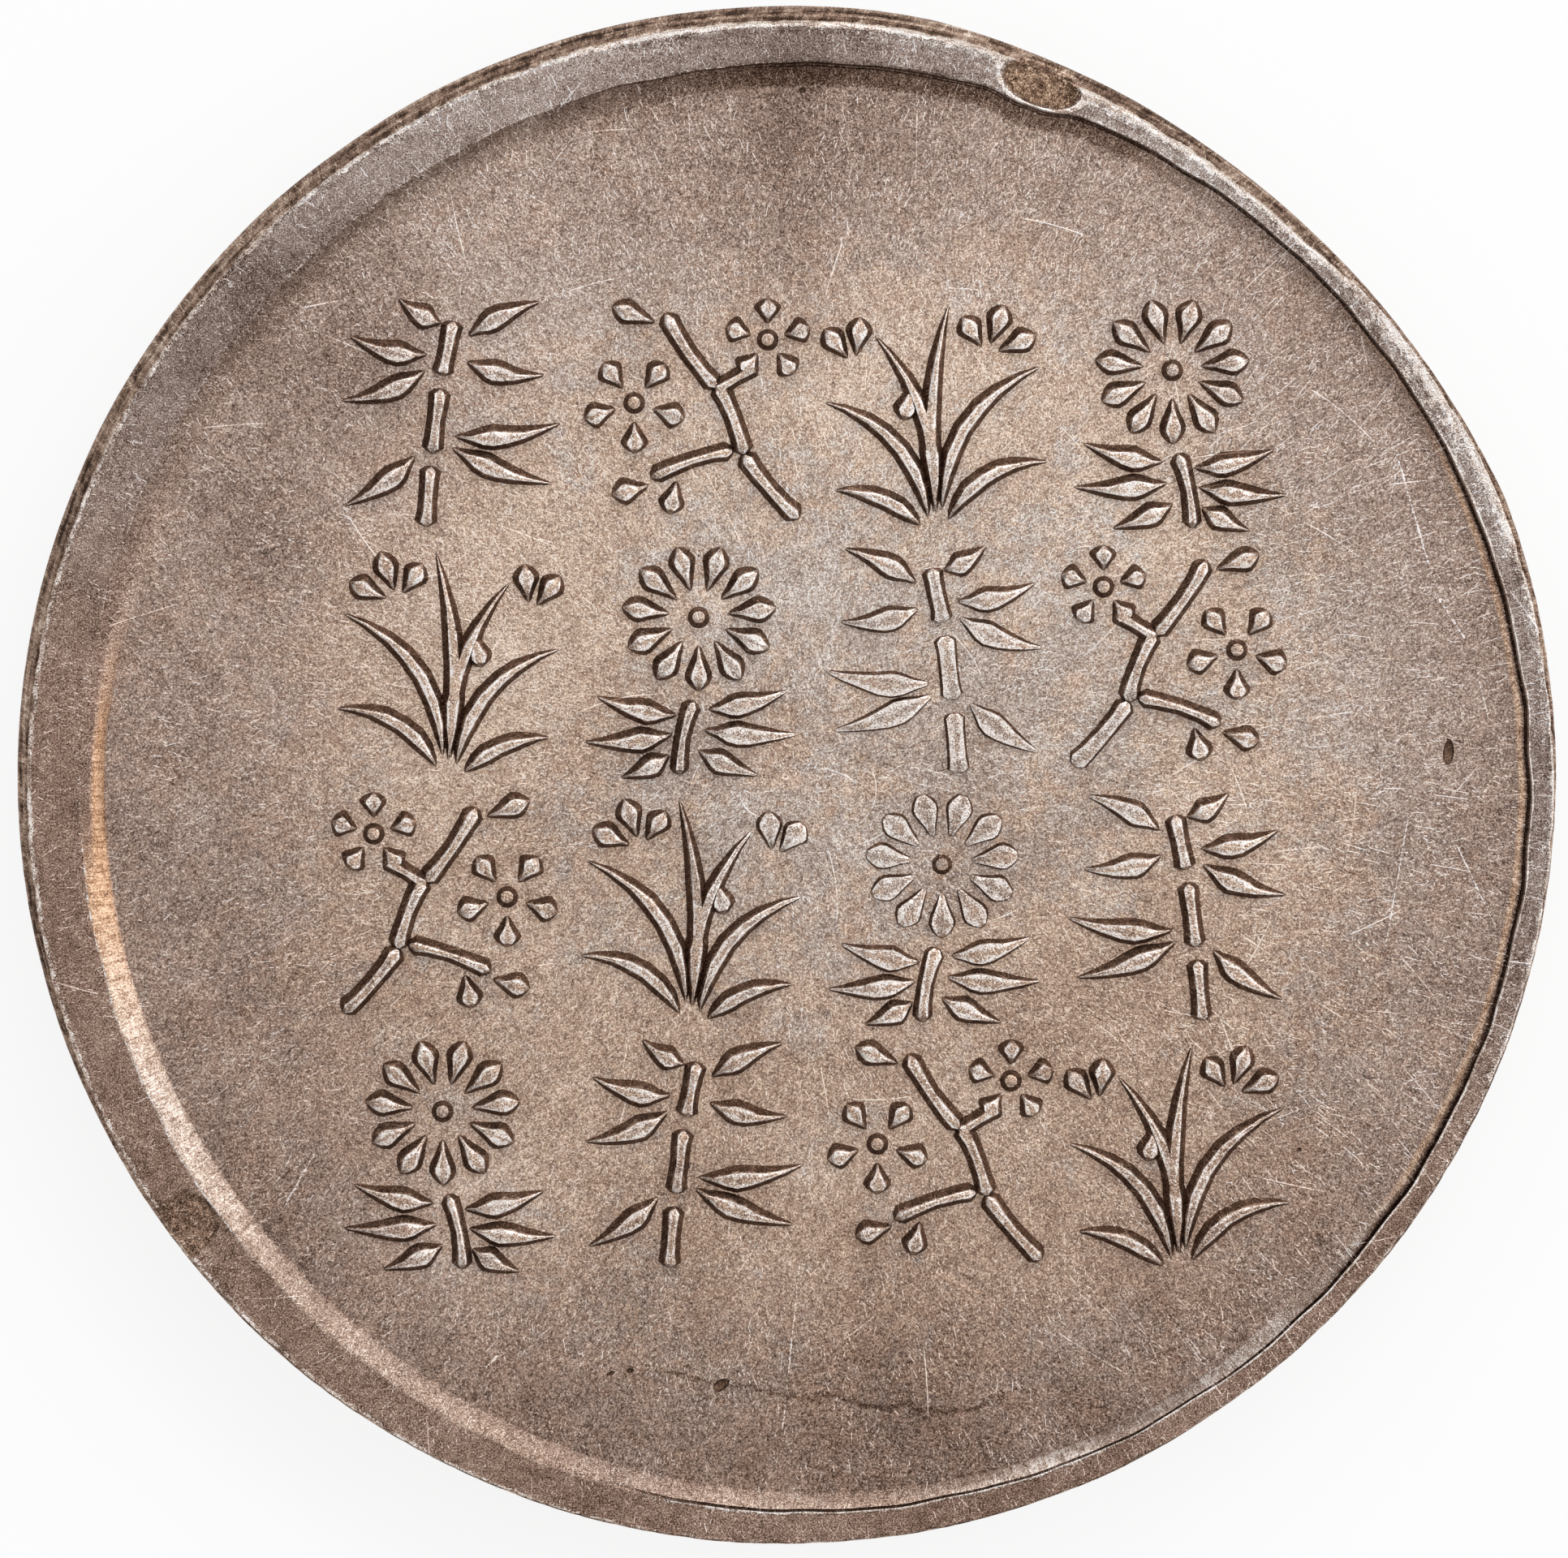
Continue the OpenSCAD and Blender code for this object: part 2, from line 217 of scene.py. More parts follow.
for point in blank.verts:
    span, share = span_of[point[row_of]]
    angle = math.atan2(point.co.y, point.co.x)
    rubbed = blend(math.cos(angle - rubbed_way), 0.75, 0.985)
    right = blend(math.cos(angle), 0.6, 1)
    at_top = blend(math.cos(angle - top_way), 0.9, 0.99)
    glint = crack_share(angle)
    undercut = blend(math.cos(angle - undercut_way), 0.78, 0.88)
    chip = blend(abs(angle - chip_at), chip_half, 0.3 * chip_half)
    # Painted highlight: a bright line along the rim's inner arris at the right and the lower right
    inner_line = max(undercut, 0.85 * glint)
    if span in ("rim", "reverse_rim"):
        outer, inner = blend(share, 0.6, 0.0), blend(share, 0.85, 1.0)
        point[rim_band] = 1
        outer_wear = 0.12 + 0.38 * max(rubbed, 0.75 * at_top, 0.5 * right, chip)
        inner_sheen_and_wear = 0.06 + max(0.2 * rubbed, 0.9 * inner_line)
        point[wear_and_sheen] = 0.1 + 0.3 * rubbed + 0.18 * right + outer * outer_wear + inner * inner_sheen_and_wear
    lit = blend(math.cos(angle - lit_way), 0.88, 0.98)
    browned = blend(math.cos(angle - brown_way), 0.7, 0.92)
    if (span == "rim" and share < 0.1) or (span == "bevel" and share > 0.8):
        point[wear_and_sheen] = 0.62 + 0.34 * max(rubbed, 0.7 * at_top, right, chip) - 0.25 * glint
    if span == "bevel" and share in bevel_lines:
        broken_up = noise.noise(2.2 * point.co + Vector((0, 0, 9 * share)))
        point[shade_and_bevel_lines] = bevel_lines[share] * blend(broken_up, -0.25, 0.3)
    # The inner arris: wear, with a painted highlight where the wall below faces the lamps and along the right
    # and lower right
    if span == "wall" and share == 0:
        point[wear_and_sheen] = 0.3 + 0.4 * max(rubbed, 1.6 * inner_line, lit, 0.7 * browned)
        point[rim_band] = 1
    # On the walls: a painted highlight where the wall faces the lamps (the lower left, the foot at the right,
    # the lower right), and painted shade, with some brown, where it faces away at the top and upper left
    if span in ("wall", "reverse_wall"):
        down = share if span == "wall" else 1 - share
        side = hollow_share(angle)
        at_left = plain_share(angle)
        pale = (1 - side) * blend(down, 1.0, 0.9) + 0.7 * side * blend(down, 0.6, 0.2)
        pale *= 1 - at_left * blend(down, level_run + 0.1, level_run)
        point[rim_band] = max(point[rim_band], at_left * blend(down, level_run + 0.1, level_run))
        # Painted shade: the wall darkens where it faces away from the lamps at the top, and browns at the
        # upper left
        shaded = blend(math.cos(angle - shade_way), 0.89, 0.98)
        glow = blend(math.cos(angle - glow_way), 0.8, 0.95) * blend(noise.noise(0.5 * point.co), -0.35, 0.2)
        pale *= 0.65 + 0.85 * lit + 0.5 * at_left + 1.3 * glow
        bright_foot = blend(down, 0.2, 0.36) * blend(down, 0.66, 0.45)
        pale += undercut * (1.5 * bright_foot - pale)
        point[wall_highlight] = pale * (1 - browned) * (1 - shaded)
        point[brown_and_shade] = blend(down, 1.0, 0.7) * max(0.5 * browned, 1.1 * shaded)
    # Painted shade on the wall: a dark band under the rim at the top and upper right, a dark line under the
    # undercut at the right, and a thin dark line in the groove below the rim
    if span == "wall" and share > 0:
        dusk_side = blend(math.cos(angle - rubbed_way), 0.58, 0.88)
        point[shade_and_bevel_lines] = max(0.2 * dusk_side * blend(share, 0.6, 0.25), 0.22 * shaded * blend(share, 1.0, 0.8))
        point[shade_and_bevel_lines] = max(point[shade_and_bevel_lines], 0.9 * undercut * blend(share, 0.3, 0.08))
        if share <= groove_end:
            line = blend(math.cos(angle - groove_way), 0.75, 0.93)
            point[shade_and_bevel_lines] = max(point[shade_and_bevel_lines], 0.8 * line, glint)

corner_rows = [n for n, (span, share) in enumerate(span_of) if share == 0 and 0 < n < len(span_of) - 1]
corners = [point for point in blank.verts if point[row_of] in corner_rows]
bmesh.ops.smooth_vert(
    blank, verts=corners, factor=0.5, use_axis_x=True, use_axis_y=True, use_axis_z=True,
)


def cast_flaw(angle, radius, long, broad, square, depth, rough, ragged, lip):
    """Sinks a rough dish into the obverse rim, long along the rim and broad across it, and more square
    as that power rises. Where it has a lip, the rim bulges inwards beside it and the lip is rubbed bright.
    Where it has none, its far end is a bright crack."""
    way = Vector((math.cos(angle), math.sin(angle), 0))
    along = Vector((-way.y, way.x, 0))
    middle = radius * way + Vector((0, 0, disc_t))

    def local(place):
        return Vector(((place - middle).dot(along) / long, (place - middle).dot(way) / broad))

    lowest = disc_t - 0.8
    near = {
        face for face in blank.faces
        if face.calc_center_median().z > lowest and local(face.calc_center_median()).length < 1.8
    }
    edges = [edge for edge in blank.edges if not near.isdisjoint(edge.link_faces)]
    bmesh.ops.subdivide_edges(blank, edges=edges, cuts=2, use_grid_fill=True)
    for point in blank.verts:
        spot = local(point.co)
        if point.co.z < lowest or abs(spot.x) > 1.6 or abs(spot.y) > 3:
            continue
        rest = min(1, max(0, (point.co.z - disc_t + field_depth) / field_depth))
        point.co -= lip * blend(abs(spot.x), 1.15, 0.2) * blend(spot.y, 0.1, -0.7) * way
        spot = local(point.co)
        size = (abs(spot.x) ** square + abs(spot.y) ** square) ** (1 / square)
        size /= 1 + ragged * noise.noise(1.6 * point.co)
        inside = blend(size, 0.98, 0.8)
        grit = noise.noise(4 * point.co) + 0.7 * noise.noise(11 * point.co)
        point[flaw] = max(point[flaw], inside * (1 if lip else 0.6))
        point.co.z -= inside * rest * (depth * blend(size, 1.0, 0.55) + rough * (0.6 + grit))
        bright_side = blend(spot.y, 0.4, -0.1) if lip else 0.5 * blend(spot.x, 0.5, 0.8) * rest
        brink = blend(size, 0.9, 0.97) * blend(size, 1.12, 1.04)
        curl = brink * bright_side * (1 - 0.6 * blend(spot.x, 0.4, 0.9))
        point[wear_and_sheen] = point[wear_and_sheen] * (1 - inside) + curl


# The scalloped void at the upper right, then the fold that crosses the rim at the lower left
cast_flaw(
    math.radians(69.8), 19.27, long=1.2, broad=0.62, square=2, depth=0.2, rough=0.06, ragged=0.08, lip=0.2,
)
cast_flaw(
    math.radians(216.8), 19.5, long=0.85, broad=0.8, square=4, depth=0.05, rough=0.065, ragged=0.5, lip=0.0,
)

open_edges = [edge for edge in blank.edges if edge.is_boundary]
bmesh.ops.holes_fill(blank, edges=open_edges, sides=0)
bmesh.ops.recalc_face_normals(blank, faces=blank.faces)
silver_slots = {"field": 0, "stroke_wall": 1, "stroke_top": 2, "edge": 3}
for face in blank.faces:
    names = {span_of[point[row_of]][0] for point in face.verts}
    if names <= {"edge", "bevel", "reverse_bevel"} or names == {"edge", "reverse_bevel"}:
        face.material_index = silver_slots["edge"]

# The relief: sprigs of the four plants, cut into the dies with a graver and struck up in the fields.
# Every stroke is a ridge with steep walls and a narrow worn top that runs out to a point.
relief_h = 0.28
wall_run = 0.17
lean = Vector((0.02, -0.05, 0))  # the graver was held at a slant, so every ridge leans
stroke_root = 0.08
drawn_w, drawn_h = 5.4, 5.8
sprig_w, sprig_h = 6.1, 6.2
column_pitch, row_pitch = 6.38, 6.48
leaf_w, stem_w, twig_w, petal_w, heart_r = 0.36, 0.3, 0.27, 0.36, 0.33
weak_spot, weak_r, weak_loss = Vector((4.0, -0.4, 0)), 7.0, 0.45

# Half-width along a stroke: pairs of a place on its spine and a share of its full half-width
stroke_forms = {
    "leaf": ((0, 0), (0.06, 0.2), (0.16, 0.5), (0.27, 0.86), (0.36, 1), (0.48, 0.9), (0.62, 0.68),
             (0.78, 0.4), (0.92, 0.15), (1, 0)),
    "stem": ((0, 0), (0.04, 0.55), (0.1, 1), (0.25, 0.9), (0.5, 0.86), (0.75, 0.92), (0.9, 1),
             (0.96, 0.55), (1, 0)),
    "blade": ((0, 0), (0.08, 0.45), (0.18, 0.85), (0.3, 1.08), (0.45, 1.05), (0.6, 1), (0.72, 0.8),
              (0.86, 0.45), (0.95, 0.17), (1, 0)),
    "petal": ((0, 0), (0.14, 0.26), (0.3, 0.5), (0.48, 0.8), (0.6, 0.98), (0.7, 1), (0.82, 0.78),
              (0.92, 0.42), (1, 0)),
}
full_widths = {"leaf": leaf_w, "stem": stem_w, "twig": twig_w, "blade": twig_w, "petal": petal_w}

# Points of each plant, drawn about its middle: the kind of stroke, its two ends and how far it bows
bamboo = [
    ("stem", (-0.55, -2.8), (-0.42, -1.25), 0), ("stem", (-0.4, -1.0), (-0.2, 0.65), 0),
    ("stem", (-0.17, 0.9), (0.1, 2.3), 0), ("leaf", (0.0, -0.8), (2.5, -1.75), -0.16),
    ("leaf", (0.05, -0.55), (2.7, -0.2), -0.2), ("leaf", (-0.75, -1.0), (-2.5, -2.3), 0.14),
    ("leaf", (-0.5, 1.1), (-2.6, 0.3), 0.2), ("leaf", (-0.45, 1.45), (-2.4, 1.95), 0.18),
    ("leaf", (0.35, 1.3), (2.3, 0.95), -0.18), ("leaf", (0.4, 1.85), (2.2, 2.75), 0.14),
    ("leaf", (-0.15, 2.2), (-1.2, 2.85), 0.1),
]
plum = [
    ("stem", (-2.5, -2.6), (-1.15, -0.95), -0.08), ("stem", (-1.2, -1.05), (-0.55, 0.75), 0.1),
    ("stem", (-0.6, 0.6), (0.65, 2.5), -0.1), ("twig", (-1.0, -0.9), (1.0, -1.6), 0.12),
    ("twig", (-0.5, 0.55), (-1.5, 1.2), 0), ("petal", (0.95, -1.75), (1.9, -2.0), 0),
    ("petal", (0.35, -1.6), (0.55, -2.5), 0), ("petal", (0.8, 2.2), (1.9, 2.65), 0),
]
orchid = [
    ("blade", (-0.15, -2.7), (-2.7, 0.3), -0.75), ("blade", (-0.05, -2.55), (-1.5, 2.0), -0.6),
    ("blade", (0.05, -2.6), (0.35, 2.8), 0.35), ("blade", (0.15, -2.5), (2.6, 1.2), 0.85),
    ("blade", (0.25, -2.7), (2.7, -1.2), 0.55), ("blade", (-0.3, -2.8), (-2.4, -1.9), -0.3),
    ("petal", (1.1, 1.6), (0.6, 2.4), 0), ("petal", (1.25, 1.65), (1.6, 2.7), 0),
    ("petal", (1.4, 1.5), (2.35, 1.95), 0), ("petal", (-0.55, 0.75), (-0.75, -0.2), 0),
    ("petal", (-2.0, 1.3), (-2.6, 2.1), 0), ("petal", (-1.85, 1.35), (-1.75, 2.4), 0),
]
chrysanthemum = [
    ("twig", (0.05, -0.95), (-0.3, -2.85), -0.12), ("leaf", (-0.3, -1.35), (-2.3, -0.85), 0.12),
    ("leaf", (-0.4, -1.8), (-2.6, -2.0), 0.1), ("leaf", (-0.5, -2.3), (-1.7, -2.9), 0.06),
    ("leaf", (0.3, -1.2), (2.3, -0.7), -0.12), ("leaf", (0.2, -1.7), (2.55, -1.8), -0.1),
    ("leaf", (0.1, -2.2), (1.6, -2.85), -0.06),
]
plants = [(bamboo, []), (plum, [((1.35, 0.25), 5, 0.4, 1.25, 54), ((-1.75, 1.8), 5, 0.36, 1.05, 18)]),
          (orchid, []), (chrysanthemum, [((0.15, 1.05), 11, 0.6, 1.85, 8)])]


def petal_ring(middle, count, inner, outer, turn):
    """The petals of one blossom, as strokes round its heart."""
    for number in range(count):
        angle = math.radians(turn + 360 * number / count)
        way = Vector((math.cos(angle), math.sin(angle)))
        yield "petal", Vector(middle) + inner * way, Vector(middle) + outer * way, 0


def strike_height(place):
    """How high the relief stands at a place: the metal rose less in the middle right."""
    loss = weak_loss * (1 - blend((place - weak_spot).length, 0.4 * weak_r, weak_r))
    return relief_h * (1 - loss - 0.05 * (0.5 + 0.5 * noise.noise(0.7 * place)))


def cut_stroke(kind, start, end, bow):
    """One stroke as its own closed bmesh, lying on a field at height 0 with its root below it."""
    form = stroke_forms["stem" if kind == "twig" else kind]
    full = full_widths[kind]
    start, end = Vector(start).to_3d(), Vector(end).to_3d()
    chord = end - start
    left = Vector((-chord.y, chord.x, 0)).normalized()
    stroke = bmesh.new()
    ridge_wear = stroke.verts.layers.float.new("wear_and_sheen")
    ledges = 8
    bmesh.ops.create_grid(stroke, x_segments=len(form) - 1, y_segments=ledges, size=1)
    for face in stroke.faces:
        top = abs(face.calc_center_median().y) < 2 / ledges
        face.material_index = silver_slots["stroke_top" if top else "stroke_wall"]
    for point in stroke.verts:
        station = round((point.co.x + 1) / 2 * (len(form) - 1))
        ledge = round(point.co.y * ledges / 2)
        share, width = form[station]
        spine = start + share * chord + 4 * bow * share * (1 - share) * left
        heading = chord + 4 * bow * (1 - 2 * share) * left
        across = Vector((-heading.y, heading.x, 0)).normalized()
        hand = 1 if ledge > 0 else -1
        half = full * width * (1 + 0.1 * noise.noise(2.2 * spine + Vector((0, 0, 7 * hand))))
        fullness = min(1, half / (1.25 * wall_run))
        run = wall_run * fullness * (strike_height(spine) / relief_h) ** 1.4
        height = strike_height(spine) * fullness
        steps = [(0, height), (half - run, 0.95 * height), (half - 0.75 * run, 0.72 * height), (half, 0),
                 (half + 0.01, -stroke_root)]
        out, up = steps[abs(ledge)]
        if abs(ledge) < 2:
            up -= 0.02 * fullness * (0.5 + 0.5 * noise.noise(6 * spine + Vector((0, 0, 3 * ledge))))
        if width == 0:
            up = -stroke_root
        point[ridge_wear] = (0.32, 0.85, 0.4, 0, 0)[abs(ledge)]
        tilt = lean * fullness * max(0, up) / relief_h
        point.co = spine + hand * out * across + tilt + Vector((0, 0, up))
    bmesh.ops.remove_doubles(stroke, verts=stroke.verts, dist=0.002)
    bmesh.ops.holes_fill(stroke, edges=[edge for edge in stroke.edges if edge.is_boundary], sides=0)
    bmesh.ops.recalc_face_normals(stroke, faces=stroke.faces)
    return stroke


def cut_heart(middle):
    """The round heart of a blossom: a low dome with the same steep wall as a stroke."""
    heart = bmesh.new()
    middle = Vector(middle).to_3d()
    height = strike_height(middle)
    tall = stroke_root + 0.9 * height
    bmesh.ops.create_cone(
        heart, cap_ends=True, cap_tris=False, segments=28, depth=tall,
        radius1=heart_r, radius2=heart_r - wall_run,
    )
    bmesh.ops.translate(heart, verts=heart.verts, vec=middle + Vector((0, 0, tall / 2 - stroke_root)))
    for face in heart.faces:
        face.material_index = silver_slots["stroke_wall"]
    top = max(heart.faces, key=lambda face: face.calc_center_median().z)
    top.material_index = silver_slots["stroke_top"]
    bmesh.ops.inset_region(heart, faces=[top], thickness=0.05, depth=0.07 * height)
    bmesh.ops.inset_region(heart, faces=[top], thickness=0.06, depth=0.03 * height)
    return heart


def sprig_cuts(strokes, blossoms, middle, turn):
    """The strokes of one sprig as bmeshes, placed about its middle and turned over where turn is -1.
    Each list that it gives holds cuts that do not touch: one stroke, or in the last all petals and hearts."""

    def placed(point):
        return middle + Vector((turn * point[0] * sprig_w / drawn_w, point[1] * sprig_h / drawn_h))

    cuts = [[cut_stroke(kind, placed(start), placed(end), turn * bow)] for kind, start, end, bow in strokes]
    flowers = [cut_heart(placed(blossom[0])) for blossom in blossoms]
    for blossom in blossoms:
        petals = petal_ring(*blossom)
        flowers += [cut_stroke(kind, placed(start), placed(end), 0) for kind, start, end, _ in petals]
    return cuts + [flowers]


def add_to(whole, shape):
    """Adds one bmesh to another and frees it."""
    carried = bpy.data.meshes.new("carried")
    shape.to_mesh(carried)
    shape.free()
    whole.from_mesh(carried)
    bpy.data.meshes.remove(carried)


def cut_die(layers, first, shift, obverse):
    """Four rows of four sprigs for one face, each row one plant further on and every other sprig turned over.
    The cuts of a sprig that may touch go to different layers, so each layer is a set of clean solids."""
    for row in range(4):
        for column in range(4):
            strokes, blossoms = plants[(first + 2 * row + column + row // 2) % 4]
            middle = Vector(((column - 1.5) * column_pitch, (1.5 - row) * row_pitch)) + Vector(shift)
            cuts = sprig_cuts(strokes, blossoms, middle, -1 if (row + column) % 2 else 1)
            for number, cut in [(number, cut) for number, group in enumerate(cuts) for cut in group]:
                bmesh.ops.scale(cut, verts=cut.verts, vec=(1, 1, 1 if obverse else -1))
                floor_z = disc_t - field_depth if obverse else field_depth
                bmesh.ops.translate(cut, verts=cut.verts, vec=(0, 0, floor_z))
                bmesh.ops.recalc_face_normals(cut, faces=cut.faces)
                if cut.calc_volume(signed=True) < 0:  # a mirrored stroke can still be inside out
                    bmesh.ops.reverse_faces(cut, faces=cut.faces)
                add_to(layers.setdefault(number, bmesh.new()), cut)


def stand_in(shape, name):
    """A working object for the strike, not part of the finished piece."""
    mesh = bpy.data.meshes.new(name)
    shape.to_mesh(mesh)
    shape.free()
    made = bpy.data.objects.new(name, mesh)
    bpy.context.scene.collection.objects.link(made)
    return made


def join(whole, part, operation="UNION"):
    """Joins a working object to another as one skin, or takes it away from it."""
    joint = whole.modifiers.new("join", "BOOLEAN")
    joint.operation = operation
    joint.solver = "MANIFOLD"
    joint.object = part


def cast_bead(finish, x, y, long, broad, tall, turn):
    """A flattened bead at the obverse field: a bump where it is joined on, a pit where it is taken away."""
    bead = bmesh.new()
    bmesh.ops.create_icosphere(bead, subdivisions=2, radius=1)
    for face in bead.faces:
        face.material_index = silver_slots[finish]
    for point in bead.verts:
        point.co *= 1 + 0.2 * noise.noise(1.5 * point.co + Vector((x, y, 0)))
    bmesh.ops.scale(bead, verts=bead.verts, vec=(long, broad, tall))
    bmesh.ops.rotate(bead, verts=bead.verts, matrix=Matrix.Rotation(math.radians(turn), 3, "Z"))
    bmesh.ops.translate(bead, verts=bead.verts, vec=(x, y, disc_t - field_depth))
    return bead


# Small faults of the casting in the obverse field: place, length, breadth, height or depth, and turn
bumps = ((15.3, -7.85, 0.2, 0.17, 0.06, 0), (-13.6, 5.93, 0.26, 0.15, 0.06, 25))
pits = ((-1.72, -16.03, 0.24, 0.15, 0.1, 35), (-4.1, -15.65, 0.1, 0.06, 0.06, 10),
        (-4.6, -15.72, 0.12, 0.05, 0.05, 20), (17.37, 0.57, 0.36, 0.14, 0.09, 86),
        (0.42, 17.95, 0.1, 0.08, 0.1, 0), (13.45, -9.85, 0.07, 0.05, 0.06, 0))
scars = ((4.55, -13.25, 0.8, 0.2, 0.05, -25),)

layers = {}
cut_die(layers, 0, die_shift, True)
cut_die(layers, 2, (0, 0), False)
relief, *others = [stand_in(layer, f"relief_{number}") for number, layer in sorted(layers.items())]
for other in others:
    join(relief, other)
disc = stand_in(blank, "blank")
join(disc, relief)
for finish, faults, operation in (("stroke_top", bumps, "UNION"), ("stroke_wall", pits, "DIFFERENCE"),
                                  ("field", scars, "DIFFERENCE")):
    beads = bmesh.new()
    for fault in faults:
        add_to(beads, cast_bead(finish, *fault))
    others.append(stand_in(beads, f"beads_{finish}"))
    join(disc, others[-1], operation)
struck = bpy.data.meshes.new_from_object(disc.evaluated_get(bpy.context.evaluated_depsgraph_get()))
for used in [disc, relief, *others]:
    bpy.data.objects.remove(used)

# The finished cake: the strike leaves one skin of silver over the whole disc.
# The strokes have crisp feet on the field, and worn tops that are soft.
crease = math.radians(38)
cake = bmesh.new()
cake.from_mesh(struck)
field_heights = (field_depth, disc_t - field_depth)
flat_faces = {
    face for face in cake.faces if abs(face.normal.z) > 0.9999
    and min(abs(face.calc_center_median().z - height) for height in field_heights) < 0.002
}
for face in cake.faces:
    face.smooth = True
for edge in cake.edges:
    on_field = sum(face in flat_faces for face in edge.link_faces) == 1
    edge.smooth = not on_field and edge.calc_face_angle(0) < crease
bmesh.ops.scale(cake, verts=cake.verts, vec=(1 / per_metre,) * 3)
cake_mesh = bpy.data.meshes.new("silver_cake_struck")
cake.to_mesh(cake_mesh)
cake.free()
bpy.data.meshes.remove(struck)
silver_cake = bpy.data.objects.new("silver_cake_struck", cake_mesh)
bpy.context.scene.collection.objects.link(silver_cake)

# Toned silver: bare metal under a thin brown and violet-grey tarnish that lies in clouds.
# Handling has scattered fine bright hairlines over it, and kept the arrises and stroke tops bright.
# The rim's inner wall and inner arris also carry a painted highlight and painted shade


def tone(red, green, blue):
    """A colour from 0 to 255, as the eye sees it, as the linear colour that a shader takes."""
    levels = [level / 255 for level in (red, green, blue)]
    return (*(x / 12.92 if x <= 0.04045 else ((x + 0.055) / 1.055) ** 2.4 for x in levels), 1)


def fill(tree, made, sockets):
    """Fills a node's sockets with values or links."""
    for name, value in sockets.items():
        if isinstance(value, bpy.types.NodeSocket):
            tree.links.new(value, made.inputs[name])
        else:
            made.inputs[name].default_value = value
    return made


def put(tree, kind, sockets=None, **settings):
    """Adds a shader node, sets its options and fills its sockets."""
    made = tree.nodes.new("ShaderNode" + kind)
    for name, value in settings.items():
        setattr(made, name, value)
    return fill(tree, made, sockets or {})


def figure(tree, operation, first, second=0.0):
    """The result of one sum on two values."""
    return put(tree, "Math", {0: first, 1: second}, operation=operation).outputs[0]


def vector_figure(tree, operation, first, second):
    """The result of one sum on two vectors: a number for a dot product or a distance, or else a vector."""
    made = put(tree, "VectorMath", {0: first, 1: second}, operation=operation)
    return made.outputs["Value" if operation in ("DOT_PRODUCT", "DISTANCE") else "Vector"]


def scaled(tree, place, scale):
    """A vector made longer or shorter."""
    return put(tree, "VectorMath", {0: place, "Scale": scale}, operation="SCALE").outputs[0]


def total(tree, start, *parts):
    """A start value plus parts, each a value and its weight."""
    for value, weight in parts:
        start = put(tree, "Math", {0: value, 1: weight, 2: start}, operation="MULTIPLY_ADD").outputs[0]
    return start


def ramp(tree, value, start, end, low_value=0.0, high_value=1.0):
    """A value brought smoothly from one range to another."""
    sockets = {0: value, 1: start, 2: end, 3: low_value, 4: high_value}
    return put(tree, "MapRange", sockets, interpolation_type="SMOOTHSTEP").outputs[0]


def mix(tree, share, first, second, blend_type="MIX"):
    """Two colours mixed by a share."""
    sockets = {0: share, 6: first, 7: second}
    return put(tree, "Mix", sockets, data_type="RGBA", blend_type=blend_type).outputs[2]


def clouds(tree, place, scale, detail=4.0, roughness=0.55, distortion=0.0):
    """Soft noise, with scale in patches to the millimetre."""
    sockets = {"Vector": place, "Scale": scale, "Detail": detail, "Roughness": roughness,
               "Distortion": distortion}
    return put(tree, "TexNoise", sockets).outputs[0]


def drawn_clouds(tree, stretches, detail, roughness):
    """Soft noise along up to three values, each stretched by its own scale."""
    axes = {number: figure(tree, "MULTIPLY", *stretch) for number, stretch in enumerate(stretches)}
    return clouds(tree, put(tree, "CombineXYZ", axes).outputs[0], 1.0, detail=detail, roughness=roughness)


def mark(tree, name):
    """One of the marks painted on the blank."""
    return put(tree, "Attribute", attribute_name=name).outputs["Fac"]


def open_group(name, inputs, outputs):
    """An empty shader node group, with the sockets that lead into it and out of it."""
    group = bpy.data.node_groups.new(name, "ShaderNodeTree")
    for label, kind in inputs.items():
        group.interface.new_socket(label, in_out="INPUT", socket_type=kind)
    for label, kind in outputs.items():
        group.interface.new_socket(label, in_out="OUTPUT", socket_type=kind)
    return group, group.nodes.new("NodeGroupInput").outputs, group.nodes.new("NodeGroupOutput").inputs


def use_group(tree, group, sockets):
    """Places a node group in a tree."""
    return fill(tree, put(tree, "Group", node_tree=group), sockets).outputs


number, vector, colour = "NodeSocketFloat", "NodeSocketVector", "NodeSocketColor"

# Scratches: one short bowed line in each cell of a pattern. They follow the flow of the struck metal
# outwards from the middle, and stray from it by a share of half a turn.
scratches, given, result = open_group(
    "scratches",
    {"Place": vector, "Flow": number, "Stray": number, "To the mm": number, "Length": number, "Width": number,
     "Bow": number},
    {"Mask": number},
)
spread = scaled(scratches, given["Place"], given["To the mm"])
cells = put(scratches, "TexVoronoi", {"Vector": spread, "Scale": 1.0}, voronoi_dimensions="2D")
chance = put(scratches, "SeparateColor", {0: cells.outputs["Color"]}).outputs
inside = vector_figure(scratches, "SUBTRACT", spread, cells.outputs["Position"])
any_way = total(scratches, -math.pi / 2, (chance["Red"], math.pi))
strayed = figure(scratches, "MULTIPLY", any_way, given["Stray"])
back = figure(scratches, "SUBTRACT", strayed, given["Flow"])
turned = put(scratches, "VectorRotate", {"Vector": inside, "Angle": back}, rotation_type="Z_AXIS").outputs[0]
line = put(scratches, "SeparateXYZ", {0: turned}).outputs
bowed = total(scratches, line["Y"], (figure(scratches, "MULTIPLY", line["X"], line["X"]), given["Bow"]))
aside = figure(scratches, "ABSOLUTE", bowed)
along = figure(scratches, "ABSOLUTE", line["X"])
breadth = figure(scratches, "MULTIPLY", given["Width"], given["To the mm"])
core = ramp(scratches, aside, breadth, figure(scratches, "MULTIPLY", breadth, 0.3))
